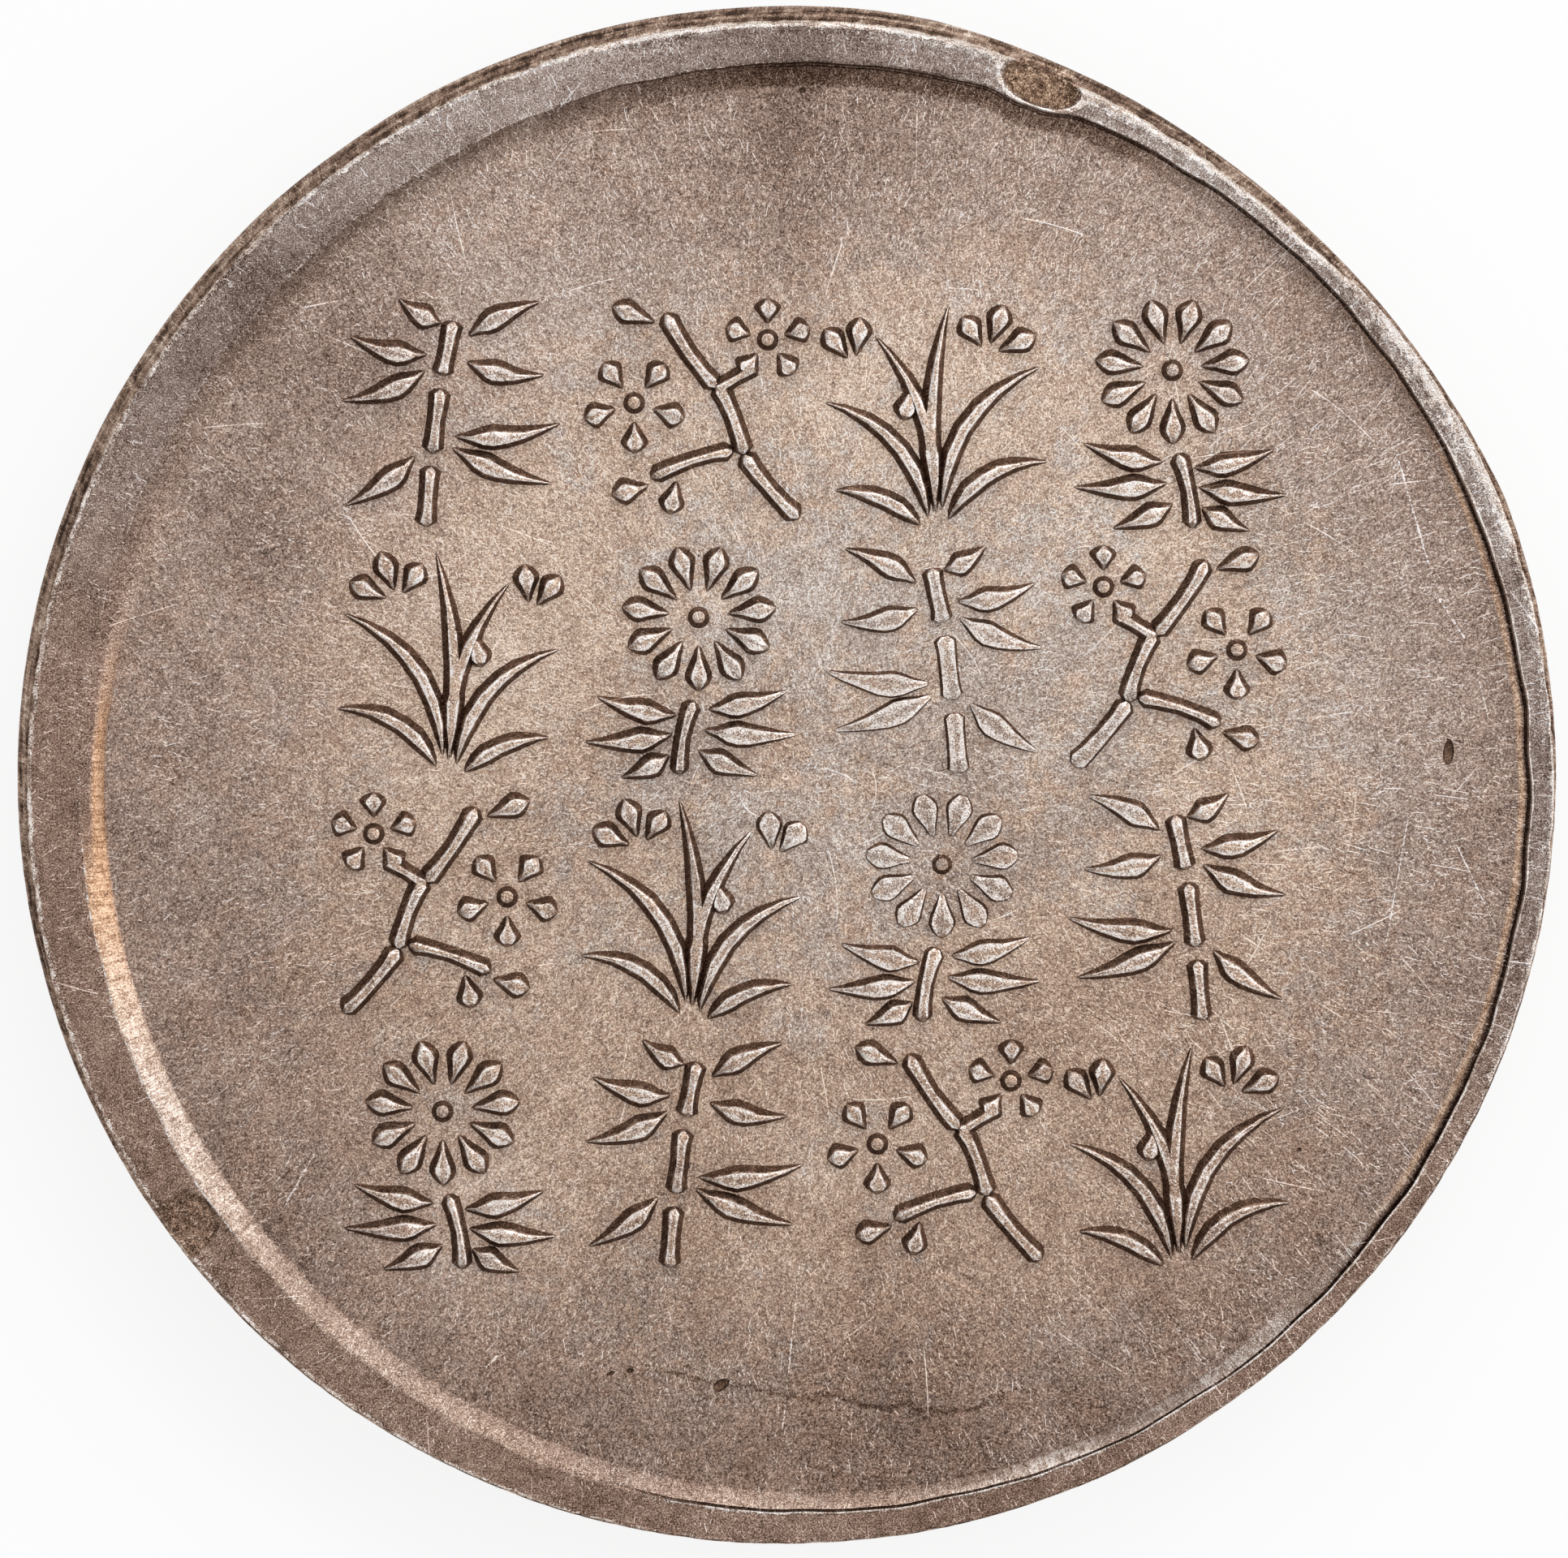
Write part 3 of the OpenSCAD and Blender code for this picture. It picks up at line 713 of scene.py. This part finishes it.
tail = figure(scratches, "MULTIPLY", given["Length"], total(scratches, 0.4, (chance["Green"], 0.6)))
ends = ramp(scratches, along, tail, figure(scratches, "MULTIPLY", tail, 0.6))
struck_hard = total(scratches, 0.12, (figure(scratches, "MULTIPLY", chance["Blue"], chance["Blue"]), 0.88))
shown = figure(scratches, "MULTIPLY", figure(scratches, "MULTIPLY", core, ends), struck_hard)
scratches.links.new(shown, result["Mask"])

# One long scratch between two places
lone_scratch, given, result = open_group(
    "lone_scratch", {"Place": vector, "Start": vector, "End": vector, "Width": number}, {"Mask": number},
)
chord = vector_figure(lone_scratch, "SUBTRACT", given["End"], given["Start"])
gone = vector_figure(lone_scratch, "SUBTRACT", given["Place"], given["Start"])
covered = vector_figure(lone_scratch, "DOT_PRODUCT", gone, chord)
whole = vector_figure(lone_scratch, "DOT_PRODUCT", chord, chord)
way_along = put(lone_scratch, "Math", {0: covered, 1: whole}, operation="DIVIDE", use_clamp=True).outputs[0]
off_line = vector_figure(lone_scratch, "DISTANCE", gone, scaled(lone_scratch, chord, way_along))
broken = clouds(lone_scratch, given["Place"], 6.0, detail=3.0, roughness=0.8)
kept_wide = figure(lone_scratch, "MULTIPLY", given["Width"], ramp(lone_scratch, broken, 0.4, 0.6, 0.1, 1.1))
lone_scratch.links.new(
    ramp(lone_scratch, off_line, kept_wide, figure(lone_scratch, "MULTIPLY", kept_wide, 0.4)), result["Mask"],
)

# Clouds of tarnish: how light the metal is, and the tint that lies over it. The upper middle is palest
# and bluish, peach-coloured metal lies round it, the tarnish deepens to the outside, and the face darkens
# towards the lower edge.
field_level = disc_t - field_depth
patina, given, result = open_group("patina", {"Place": vector}, {"Tone": number, "Tint": colour})
axes = put(patina, "SeparateXYZ", {0: given["Place"]}).outputs


def distance_to(tree, place, spot):
    """Distance in millimetres from one spot of the disc."""
    return vector_figure(tree, "DISTANCE", place, spot)


broad = clouds(patina, given["Place"], 0.13, detail=4.0, roughness=0.6, distortion=0.5)
shifted = vector_figure(patina, "ADD", given["Place"], (31.0, 17.0, 5.0))
dusk = clouds(patina, shifted, 0.3, detail=6.0, roughness=0.65, distortion=0.6)
mottle = clouds(patina, given["Place"], 1.4, detail=6.0, roughness=0.7)
hue = clouds(patina, shifted, 0.7, detail=6.0, roughness=0.7, distortion=0.3)
hue_flecks = clouds(patina, shifted, 3.0, detail=3.0, roughness=0.6)
stray = total(patina, -4.0, (broad, 4.0), (dusk, 4.0))


def ragged_patch(place, spot, start, end):
    """A patch with a ragged outline, from 0 at the start distance from its spot to 1 at the end distance."""
    return ramp(patina, figure(patina, "ADD", distance_to(patina, place, spot), stray), start, end)


outer_ring = ragged_patch(given["Place"], (1.8, -1.2, 1.7), 11.0, 18.0)
blue_spot = ragged_patch(given["Place"], (2.0, 1.5, 1.7), 11.0, 3.0)
streak_side = ramp(patina, figure(patina, "ABSOLUTE", total(patina, -0.1, (axes["X"], 1.0))), 1.8, 0.1)
streak = figure(patina, "MULTIPLY", streak_side, ramp(patina, axes["Y"], 8.0, 14.0))
# A thin dark tide mark runs along the lower edge of the field
wander = clouds(patina, given["Place"], 0.9, detail=4.0, roughness=0.6)
drift = ramp(patina, axes["X"], 0.0, 5.5, 16.05, 16.9)
off_tide = figure(patina, "SUBTRACT", distance_to(patina, given["Place"], (0.72, -0.25, 3.0)), drift)
off_tide = total(patina, -0.5, (off_tide, 1.0), (wander, 1.0))
tide_line = ramp(patina, figure(patina, "ABSOLUTE", off_tide), 0.12, 0.01)
tide_run = figure(patina, "MULTIPLY", ramp(patina, axes["X"], -5.0, -1.5), ramp(patina, axes["X"], 6.6, 5.4))
tide_run = figure(patina, "MULTIPLY", tide_run, ramp(patina, axes["Y"], -13.0, -14.5))
tide_run = figure(patina, "MULTIPLY", tide_run, ramp(patina, mottle, 0.32, 0.52))
tide = figure(patina, "MULTIPLY", tide_line, tide_run)
lightness = total(patina, -0.35, (broad, 0.26), (dusk, 0.36), (mottle, 0.28), (outer_ring, -0.18),
                  (axes["Y"], 0.004), (axes["X"], -0.001), (streak, -0.09), (tide, -0.22))
cool_side = ramp(patina, axes["X"], 5.0, 16.0)
warmth = total(patina, -3.1, (blue_spot, -0.8), (outer_ring, -0.8), (cool_side, -0.3), (axes["Y"], -0.012),
               (broad, 0.7), (dusk, 0.9), (hue, 4.6), (hue_flecks, 2.0))
# Stains that stand out on the obverse: place, half-width, how much lighter and how much warmer
stains = (
    (-12.7, 12.0, 2.6, -0.05, -0.4), (-14.0, 6.3, 2.2, -0.05, -0.4), (16.4, 3.0, 3.6, 0.04, -0.3),
    (9.8, 11.8, 4.4, 0.07, 0.3), (3.0, 11.5, 3.5, 0.05, 0.4), (-8.5, 4.0, 4.6, 0.04, 0.6),
    (-8.5, -12.0, 3.0, 0.13, 0.2), (-3.0, -13.4, 2.5, -0.04, -0.3), (8.3, 5.0, 3.0, 0.07, 0.15),
    (0.0, -4.0, 2.5, 0.05, 0.0), (8.8, -6.4, 5.2, -0.075, 0.1), (3.0, -16.0, 3.2, -0.09, -0.1),
    (-7.5, 12.3, 3.0, 0.07, 0.0), (-4.0, -16.2, 2.0, 0.05, 0.0), (4.2, -11.6, 2.6, -0.05, 0.0),
    (16.4, -8.0, 2.2, 0.07, 0.0), (0.5, 16.4, 4.0, -0.04, 0.0), (-12.4, -8.0, 3.0, 0.0, 0.3),
    (12.6, -12.0, 3.0, 0.0, 0.3),
)
for x, y, half_width, lighter, warmer in stains:
    stained = ragged_patch(given["Place"], (x, y, field_level), 1.5 * half_width, 0.2 * half_width)
    lightness = total(patina, lightness, (stained, lighter))
    warmth = total(patina, warmth, (stained, warmer))
tint = mix(patina, ramp(patina, warmth, 0.0, 1.0), (0.89, 0.94, 1.0, 1), (1.0, 0.897, 0.8, 1))
tint = mix(patina, figure(patina, "MULTIPLY", outer_ring, 0.5), tint, (0.97, 0.915, 0.95, 1))
patina.links.new(lightness, result["Tone"])
patina.links.new(tint, result["Tint"])

# Fine texture of the struck metal: its grain, flecks and hairlines, and a few long scratches
texture, given, result = open_group(
    "struck_texture", {"Place": vector}, {"Tone": number, "Height": number, "Speckle": number},
)
grain = clouds(texture, given["Place"], 24.0, detail=2.0, roughness=0.75)
speckle = clouds(texture, given["Place"], 5.5, detail=4.0, roughness=0.75)
# The few scratches that stand out on the obverse: their two ends, their height and their half-width
long_scratches = (
    ((0.34, -12.9), (-0.1, -17.2), field_level, 0.03), ((16.3, -1.2), (15.7, -4.6), field_level, 0.022),
    ((17.6, -1.9), (18.6, -4.0), field_level, 0.026), ((-12.4, -10.0), (-13.1, -11.2), field_level, 0.05),
    ((-7.9, -15.55), (-7.6, -15.3), field_level, 0.06), ((16.07, 8.19), (16.84, 5.53), field_level, 0.045),
    ((17.14, 4.55), (17.78, 3.59), field_level, 0.05), ((18.18, 2.4), (18.41, 1.47), field_level, 0.04),
    ((16.07, 8.19), (15.8, 7.04), field_level, 0.03),
)
axes = put(texture, "SeparateXYZ", {0: given["Place"]}).outputs
flow = figure(texture, "ARCTAN2", axes["Y"], axes["X"])


def hairlines(offset, stray, to_the_mm, length, width, bow):
    """A field of short scratches, moved aside so that no two fields fall together."""
    moved = vector_figure(texture, "ADD", given["Place"], (offset, offset, 0))
    sockets = {"Place": moved, "Flow": flow, "Stray": stray, "To the mm": to_the_mm, "Length": length,
               "Width": width, "Bow": bow}
    return use_group(texture, scratches, sockets)["Mask"]


lines = figure(texture, "MULTIPLY", hairlines(0.0, 0.75, 7.0, 0.42, 0.016, 0.15), 0.8)
for other in (hairlines(4.3, 0.5, 4.6, 0.5, 0.016, -0.12), hairlines(8.1, 0.35, 2.2, 0.6, 0.015, 0.1),
              hairlines(2.7, 1.0, 0.4, 0.55, 0.022, 0.03)):
    lines = figure(texture, "MAXIMUM", lines, other)
# Long hairlines lie thickest at the right and at the top
thick_top = ramp(texture, axes["Y"], 9.0, 15.0, 0.0, 0.5)
thick = figure(texture, "MAXIMUM", ramp(texture, axes["X"], 5.0, 13.0), thick_top)
for offset, stray, to_the_mm in ((5.5, 0.2, 0.9), (7.7, 0.12, 1.5), (9.9, 0.3, 0.6)):
    drawn_out = hairlines(offset, stray, to_the_mm, 0.7, 0.016, 0.02)
    lines = figure(texture, "MAXIMUM", lines, figure(texture, "MULTIPLY", drawn_out, thick))
for start, end, level, width in long_scratches:
    sockets = {"Place": given["Place"], "Start": (*start, level), "End": (*end, level), "Width": width}
    lines = figure(texture, "MAXIMUM", lines, use_group(texture, lone_scratch, sockets)["Mask"])
crowded = ramp(texture, clouds(texture, given["Place"], 0.9, detail=3.0), 0.38, 0.62, 0.5, 1.25)
bright_lines = figure(texture, "MULTIPLY", lines, total(texture, 0.54, (thick, 0.14)))
bright_lines = figure(texture, "MULTIPLY", bright_lines, crowded)
dark_lines = hairlines(11.3, 0.6, 3.2, 0.55, 0.016, 0.1)
fine_tone = total(texture, -1.37, (grain, 2.0), (speckle, 0.6), (bright_lines, 1.0), (dark_lines, -0.3))
texture.links.new(fine_tone, result["Tone"])
texture.links.new(total(texture, 0.0, (grain, 0.8), (speckle, 0.5), (lines, 0.4)), result["Height"])
texture.links.new(speckle, result["Speckle"])

# Colours of the metal from its deepest tarnish to bare silver
silver_steps = ((0.0, tone(52, 37, 28)), (0.22, tone(102, 81, 69)), (0.45, tone(149, 127, 114)),
                (0.6, tone(175, 153, 138)), (0.8, tone(211, 193, 179)), (1.0, tone(244, 237, 232)))


def silver_colour(tree, lightness, tint):
    """The colour of toned silver for a lightness from 0 to 1, under a tint."""
    steps = put(tree, "ValToRGB", {0: lightness})
    stops = steps.color_ramp.elements
    for place_on_ramp, shown in silver_steps[1:-1]:
        stops.new(place_on_ramp).color = shown
    stops[0].color = silver_steps[0][1]
    stops[len(stops) - 1].color = silver_steps[-1][1]
    return mix(tree, 1.0, steps.outputs["Color"], tint, "MULTIPLY")


def start_finish(name):
    """A metal material with its place in millimetres, its tarnish and its fine texture."""
    made = bpy.data.materials.new(name)
    made.use_nodes = True
    tree = made.node_tree
    tree.nodes.clear()
    spot = put(tree, "TexCoord").outputs["Object"]
    place = vector_figure(tree, "MULTIPLY", spot, (per_metre,) * 3)
    shader = put(tree, "BsdfPrincipled", {"Metallic": 1.0})
    tree.links.new(shader.outputs[0], put(tree, "OutputMaterial").inputs["Surface"])
    return made, tree, place, shader


def end_finish(tree, shader, colour_socket, rough, height, strength):
    """Feeds a finish's colour, roughness and height to its shader."""
    bump = put(tree, "Bump", {"Height": height, "Strength": strength, "Distance": 0.03 / per_metre})
    fill(tree, shader, {"Base Color": colour_socket, "Roughness": rough, "Normal": bump.outputs[0]})


def round_place(tree, place):
    """Place as seen from the disc's middle: turn in radians, distance outwards, and height."""
    axes = put(tree, "SeparateXYZ", {0: place}).outputs
    turn = figure(tree, "ARCTAN2", axes["Y"], axes["X"])
    square = figure(tree, "MULTIPLY", axes["X"], axes["X"])
    outward = figure(tree, "SQRT", total(tree, square, (axes["Y"], axes["Y"])))
    return turn, outward, axes["Z"]


rosy, bluish = (1.0, 0.92, 0.84, 1), (0.93, 0.965, 1.0, 1)
violet_rim, brown_rim = (0.86, 0.925, 1.02, 1), (1.0, 0.925, 0.905, 1)
pale_tint, foot_tint, peach_foot = (0.97, 0.98, 1.0, 1), (0.99, 0.96, 0.94, 1), (1.0, 0.75, 0.54, 1)
gold_foot = (1.0, 0.83, 0.68, 1)
red_brown, crust = (1.0, 0.94, 0.91, 1), (1.0, 0.92, 0.8, 1)


def speckled(tree, tint, speckle):
    """A tint broken up into fine rosy and bluish specks."""
    flecked = mix(tree, ramp(tree, speckle, 0.4, 0.62), bluish, rosy)
    return mix(tree, 0.38, tint, flecked)


def bright_wear_and_sheen(tree, place):
    """Where handling has rubbed the tarnish off, and where a painted highlight lies along the rim's inner
    arris: scuffs that close up as the painted mark rises.
    """
    scuff = clouds(tree, place, 3.0, detail=6.0, roughness=0.8)
    return ramp(tree, total(tree, -1.0, (mark(tree, "wear_and_sheen"), 1.0), (scuff, 2.0)), 0.42, 0.72)


field_silver, tree, place, shader = start_finish("toned_silver")
cloud = use_group(tree, patina, {"Place": place})
fine = use_group(tree, texture, {"Place": place})
turn, outward, _ = round_place(tree, place)
striae = drawn_clouds(tree, ((turn, 330.0), (outward, 0.8)), detail=3.0, roughness=0.6)
rubs = drawn_clouds(tree, ((turn, 16.0), (outward, 4.5)), detail=5.0, roughness=0.75)
worn_and_sheen_rim = figure(tree, "MULTIPLY", mark(tree, "rim"), mark(tree, "wear_and_sheen"))
rub_light = figure(tree, "MULTIPLY", worn_and_sheen_rim, total(tree, -0.5, (rubs, 1.0)))
crumple = total(tree, -0.5, (clouds(tree, place, 6.0, detail=4.0), 1.0))
crumple = figure(tree, "MULTIPLY", mark(tree, "flaw"), crumple)
axes = put(tree, "SeparateXYZ", {0: place}).outputs
cool_rim = ramp(tree, total(tree, axes["Y"], (axes["X"], 0.35)), -6.0, 6.0)
left_part = figure(tree, "MULTIPLY", ramp(tree, axes["X"], -8.0, -16.0), ramp(tree, axes["Y"], -9.0, -3.0))
brown_part = figure(tree, "MULTIPLY", mark(tree, "rim"), left_part)
worn_and_sheen = bright_wear_and_sheen(tree, place)
# The wall's painted highlight lightens it, and its brown with painted shade darkens it
wall_highlight_mask, brown_and_shaded_wall = mark(tree, "wall_highlight"), mark(tree, "brown_and_shade")
ragged = clouds(tree, place, 4.0, detail=5.0, roughness=0.75)
wall_light = figure(tree, "MULTIPLY", wall_highlight_mask, total(tree, -0.45, (striae, 0.6), (ragged, 0.65)))
wall_shade = figure(tree, "MULTIPLY", brown_and_shaded_wall, total(tree, -0.17, (striae, 0.22)))
# Painted shadow: the field darkens into the foot of its wall at the top and the upper right, where the rim
# would shade it
off_field = distance_to(tree, place, (*die_shift, field_level))
upper = ramp(tree, total(tree, axes["Y"], (axes["X"], 0.5)), 8.0, 17.0)
foot_shadow = figure(tree, "MULTIPLY", ramp(tree, off_field, 17.6, 18.55), upper)
foot_shadow = figure(tree, "MULTIPLY", foot_shadow, figure(tree, "SUBTRACT", 1.0, mark(tree, "rim")))
# The rim is a little paler along the lower left
low_left = figure(tree, "MULTIPLY", ramp(tree, axes["Y"], -13.0, -16.5), ramp(tree, axes["X"], 3.0, -2.0))
low_left = figure(tree, "MULTIPLY", low_left, mark(tree, "rim"))
lightness = total(tree, 0.605, (cloud["Tone"], 1.0), (fine["Tone"], 1.0), (worn_and_sheen, 0.36), (wall_light, 1.0),
                  (wall_shade, 1.0), (rub_light, 2.6), (crumple, 1.1), (mark(tree, "rim"), -0.03),
                  (brown_part, -0.07), (mark(tree, "shade_and_bevel_lines"), -0.6), (mark(tree, "flaw"), -0.1),
                  (foot_shadow, -0.07), (low_left, 0.05))
tint = speckled(tree, cloud["Tint"], fine["Speckle"])
rim_tint = mix(tree, cool_rim, brown_rim, violet_rim)
tint = mix(tree, figure(tree, "MULTIPLY", mark(tree, "rim"), 0.8), tint, rim_tint)
# Tints of the wall's painted highlight: peach at the lower left, paler to the right, gold at the far right
foot = mix(tree, ramp(tree, axes["Y"], -9.0, -2.0), foot_tint, peach_foot)
foot = mix(tree, ramp(tree, axes["X"], 2.0, 9.0), foot, pale_tint)
far_right = figure(tree, "MULTIPLY", ramp(tree, axes["X"], 13.0, 16.0), ramp(tree, axes["Y"], -13.0, -10.0))
foot = mix(tree, far_right, foot, gold_foot)
tint = mix(tree, figure(tree, "MULTIPLY", wall_highlight_mask, 0.8), tint, foot)
tint = mix(tree, figure(tree, "MULTIPLY", brown_and_shaded_wall, 0.7), tint, red_brown)
tint = mix(tree, mark(tree, "flaw"), tint, crust)
tint = mix(tree, worn_and_sheen, tint, pale_tint)
rough = total(tree, 0.36, (fine["Height"], 0.12), (worn_and_sheen, -0.12), (mark(tree, "flaw"), 0.15))
end_finish(tree, shader, silver_colour(tree, lightness, tint), rough,
           total(tree, 0.0, (fine["Height"], 1.0), (worn_and_sheen, 0.8)), 0.6)

# Walls of the strokes: dark from thick tarnish out of reach of wear, and from painted shade where the steep
# walls fall dark
wall_silver, tree, place, shader = start_finish("dark_stroke_walls")
fine = use_group(tree, texture, {"Place": place})
patches = clouds(tree, place, 3.0, detail=4.0, roughness=0.65)
lightness = total(tree, -0.02, (fine["Tone"], 0.6), (patches, 0.5), (bright_wear_and_sheen(tree, place), 0.3))
end_finish(tree, shader, silver_colour(tree, lightness, (1.0, 0.93, 0.86, 1)),
           total(tree, 0.34, (fine["Height"], 0.2)), fine["Height"], 0.6)

# Tops of the strokes: rubbed, so they are a little lighter than the field and white in spots
top_silver, tree, place, shader = start_finish("worn_stroke_tops")
cloud = use_group(tree, patina, {"Place": place})
fine = use_group(tree, texture, {"Place": place})
worn_and_sheen = bright_wear_and_sheen(tree, place)
lightness = total(tree, 0.6, (cloud["Tone"], 0.8), (fine["Tone"], 1.0), (worn_and_sheen, 0.3))
tint = mix(tree, worn_and_sheen, speckled(tree, cloud["Tint"], fine["Speckle"]), pale_tint)
end_finish(tree, shader, silver_colour(tree, lightness, tint),
           total(tree, 0.34, (fine["Height"], 0.12), (worn_and_sheen, -0.1)), fine["Height"], 0.7)

# The edge and its bevel: hammered and filed, brown, with file lines across it at a slant and lines along it
edge_silver, tree, place, shader = start_finish("brown_edge")
fine = use_group(tree, texture, {"Place": place})
turn, outward, level = round_place(tree, place)
slanted = total(tree, 0.0, (turn, 90.0), (outward, 4.0), (level, 2.0))
file_lines = drawn_clouds(tree, ((slanted, 1.0), (outward, 1.0), (level, 1.0)), detail=4.0, roughness=0.75)
drawn_lines = drawn_clouds(tree, ((turn, 5.0), (outward, 9.0), (level, 4.0)), detail=4.0, roughness=0.7)
worn_and_sheen = bright_wear_and_sheen(tree, place)
on_bevel = ramp(tree, level, disc_t - 0.9, disc_t - 0.45)
drawn_part = figure(tree, "MULTIPLY", total(tree, -0.5, (drawn_lines, 1.0)), on_bevel)
patches = clouds(tree, place, 0.6, detail=5.0, roughness=0.65)
lightness = total(tree, -0.52, (fine["Tone"], 0.8), (file_lines, 1.2), (drawn_part, 1.5), (patches, 0.9),
                  (worn_and_sheen, 0.5), (mark(tree, "shade_and_bevel_lines"), -0.55))
tint = mix(tree, patches, (1.0, 0.9, 0.8, 1), (1.0, 0.96, 0.92, 1))
end_finish(tree, shader, silver_colour(tree, lightness, tint),
           total(tree, 0.36, (fine["Height"], 0.12), (worn_and_sheen, -0.1)),
           total(tree, 0.0, (fine["Height"], 0.5), (file_lines, 0.8), (drawn_part, 1.0)), 0.8)

for finish in (field_silver, wall_silver, top_silver, edge_silver):
    cake_mesh.materials.append(finish)
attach(silver_cake, "root")
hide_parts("silver_cake")

# The studio: a plain white floor under the disc, soft light all round and broad lamps above and to the right.
# The camera looks straight down, as the picture was taken, and frames the disc as the picture does.
floor_size, floor_gap = 1.2, 0.00002
floor_shape = bmesh.new()
bmesh.ops.create_grid(floor_shape, x_segments=1, y_segments=1, size=floor_size / 2)
bmesh.ops.translate(floor_shape, verts=floor_shape.verts, vec=(0, 0, -floor_gap))
floor_mesh = bpy.data.meshes.new("floor")
floor_shape.to_mesh(floor_mesh)
floor_shape.free()
floor = bpy.data.objects.new("floor", floor_mesh)
bpy.context.scene.collection.objects.link(floor)
floor_paint = bpy.data.materials.new("white_floor")
floor_paint.use_nodes = True
tree = floor_paint.node_tree
tree.nodes.clear()
matt = put(tree, "BsdfDiffuse", {"Color": (0.85, 0.85, 0.85, 1)})
glow = put(tree, "Emission", {"Color": (1, 1, 1, 1), "Strength": 1.0})
path = put(tree, "LightPath")
seen = figure(tree, "MAXIMUM", path.outputs["Is Camera Ray"], path.outputs["Is Glossy Ray"])
white_share = figure(tree, "MULTIPLY", seen, 0.85)
whitened = put(tree, "MixShader", {0: white_share, 1: matt.outputs[0], 2: glow.outputs[0]})
tree.links.new(whitened.outputs[0], put(tree, "OutputMaterial").inputs["Surface"])
floor_mesh.materials.append(floor_paint)

sky = bpy.data.worlds.new("soft_studio")
bpy.context.scene.world = sky
sky.use_nodes = True
tree = sky.node_tree
tree.nodes.clear()
upward = put(tree, "SeparateXYZ", {0: put(tree, "TexCoord").outputs["Generated"]}).outputs["Z"]
dome = {0: upward, 1: 0.1, 2: 1.0, 3: 0.2, 4: 0.95}
level = put(tree, "MapRange", dome).outputs[0]
around = put(tree, "Background", {"Color": (1, 1, 1, 1), "Strength": level})
tree.links.new(around.outputs[0], put(tree, "OutputWorld").inputs["Surface"])

for name, size, energy, spot in (("upper_softbox", (0.4, 0.2), 0.7, (0.04, 0.3, 0.24)),
                                 ("right_softbox", (0.3, 0.2), 0.5, (0.33, 0.06, 0.2))):
    lamp_data = bpy.data.lights.new(name, "AREA")
    lamp_data.shape = "RECTANGLE"
    lamp_data.size, lamp_data.size_y = size
    lamp_data.energy = energy
    lamp = bpy.data.objects.new(name, lamp_data)
    lamp.location = spot
    lamp.rotation_euler = (-lamp.location).to_track_quat("-Z", "Y").to_euler()
    bpy.context.scene.collection.objects.link(lamp)

picture_w, picture_h = 1932, 1920
px_per_mm = 47.03
middle_px = (969, 954)
lens, sensor = 240, 36
view_w = picture_w / px_per_mm / per_metre
camera_data = bpy.data.cameras.new("overhead")
camera_data.lens = lens
camera_data.sensor_width = sensor
camera_data.clip_start, camera_data.clip_end = 0.01, 10
camera = bpy.data.objects.new("overhead", camera_data)
camera.location = (
    (picture_w / 2 - middle_px[0]) / px_per_mm / per_metre,
    (middle_px[1] - picture_h / 2) / px_per_mm / per_metre,
    high.z + view_w * lens / sensor,
)
bpy.context.scene.collection.objects.link(camera)
bpy.context.scene.camera = camera
bpy.context.scene.view_settings.view_transform = "Standard"
